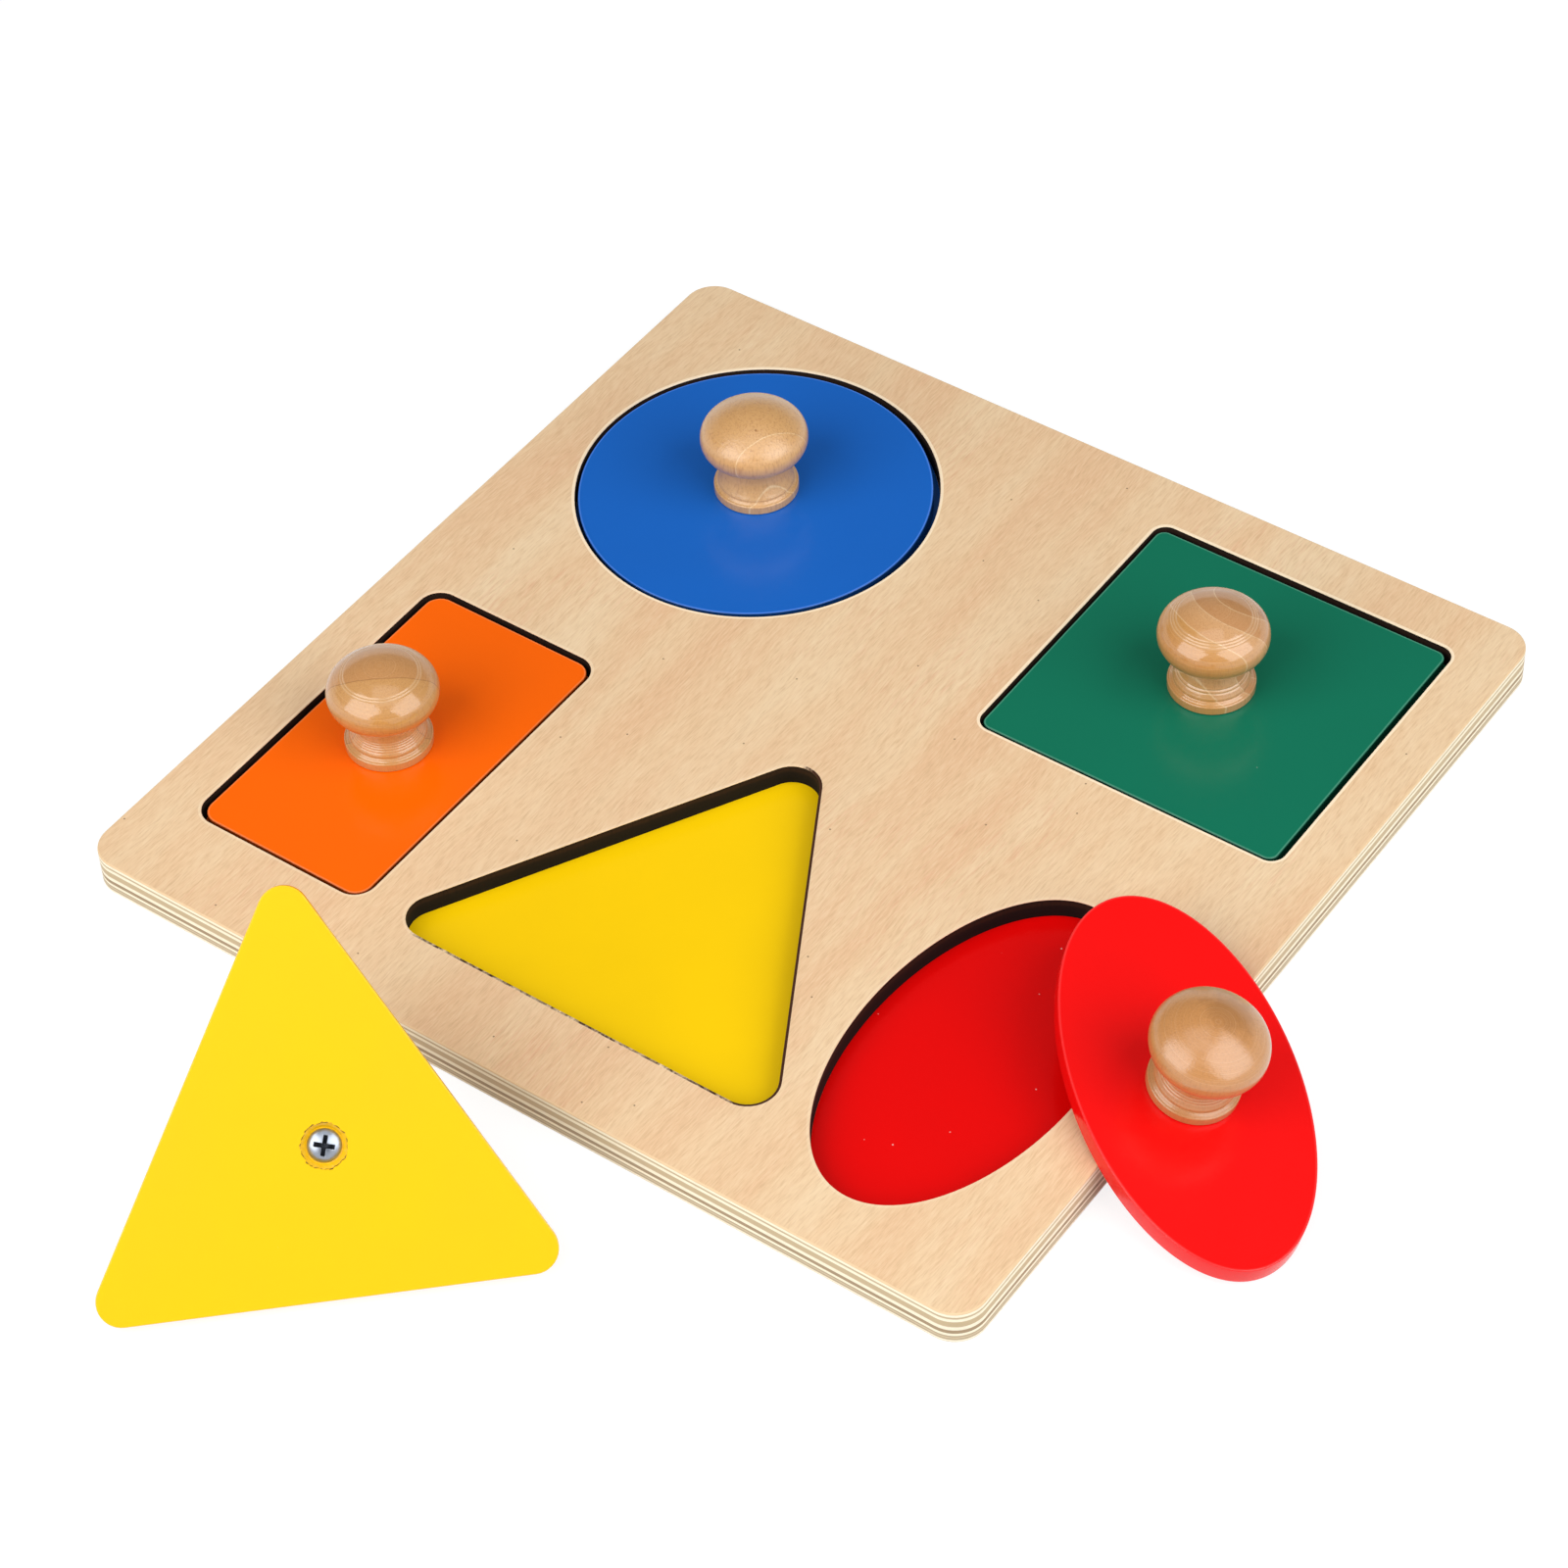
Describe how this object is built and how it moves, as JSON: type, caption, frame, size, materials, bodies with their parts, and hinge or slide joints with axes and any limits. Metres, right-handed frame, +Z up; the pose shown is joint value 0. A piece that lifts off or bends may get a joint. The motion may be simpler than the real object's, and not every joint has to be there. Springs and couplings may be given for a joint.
{
  "type": "peg puzzle",
  "caption": "Square plywood peg puzzle board with shaped recesses and painted inset pieces, each lifted by a turned wooden knob screwed on from behind.",
  "frame": {"origin": "middle of the board's underside, on the table", "axes": "+X along the board's front edge to the right, +Y to the board's back edge, +Z up out of the recesses"},
  "size_m": [0.3543, 0.4193, 0.0803],
  "materials": {
    "plywood": "sanded and clear-lacquered, satin",
    "knob_wood": "turned and varnished, gloss",
    "blue_paint": "sprayed enamel on wood, satin",
    "green_paint": "sprayed enamel on wood, satin",
    "orange_paint": "sprayed enamel on wood, satin",
    "yellow_paint": "sprayed enamel on wood, satin",
    "red_paint": "sprayed enamel on wood, satin",
    "screw_steel": "bright zinc plate"
  },
  "bodies": {
    "board": {"frame_panel": "plywood", "base_panel": "plywood", "circle_floor": "blue_paint", "square_floor": "green_paint", "rectangle_floor": "orange_paint", "triangle_floor": "yellow_paint", "oval_floor": "red_paint"},
    "circle_inset": {"circle_plate": "blue_paint", "circle_knob": "knob_wood", "circle_screw": "screw_steel"},
    "square_inset": {"square_plate": "green_paint", "square_knob": "knob_wood", "square_screw": "screw_steel"},
    "rectangle_inset": {"rectangle_plate": "orange_paint", "rectangle_knob": "knob_wood", "rectangle_screw": "screw_steel"},
    "triangle_inset": {"triangle_plate": "yellow_paint", "triangle_knob": "knob_wood", "triangle_screw": "screw_steel"},
    "oval_inset": {"oval_plate": "red_paint", "oval_knob": "knob_wood", "oval_screw": "screw_steel"}
  },
  "joints": [
    {"name": "circle_lift", "type": "slide", "parent": "board", "child": "circle_inset", "axis": [0, 0, 1], "range_m": [0, 0.06]},
    {"name": "square_lift", "type": "slide", "parent": "board", "child": "square_inset", "axis": [0, 0, 1], "range_m": [0, 0.06]},
    {"name": "rectangle_lift", "type": "slide", "parent": "board", "child": "rectangle_inset", "axis": [0, 0, 1], "range_m": [0, 0.06]},
    {"name": "triangle_lift", "type": "slide", "parent": "board", "child": "triangle_inset", "axis": [0, 0, 1], "range_m": [0, 0.06]},
    {"name": "oval_lift", "type": "slide", "parent": "board", "child": "oval_inset", "axis": [0, 0, 1], "range_m": [0, 0.06]}
  ]
}
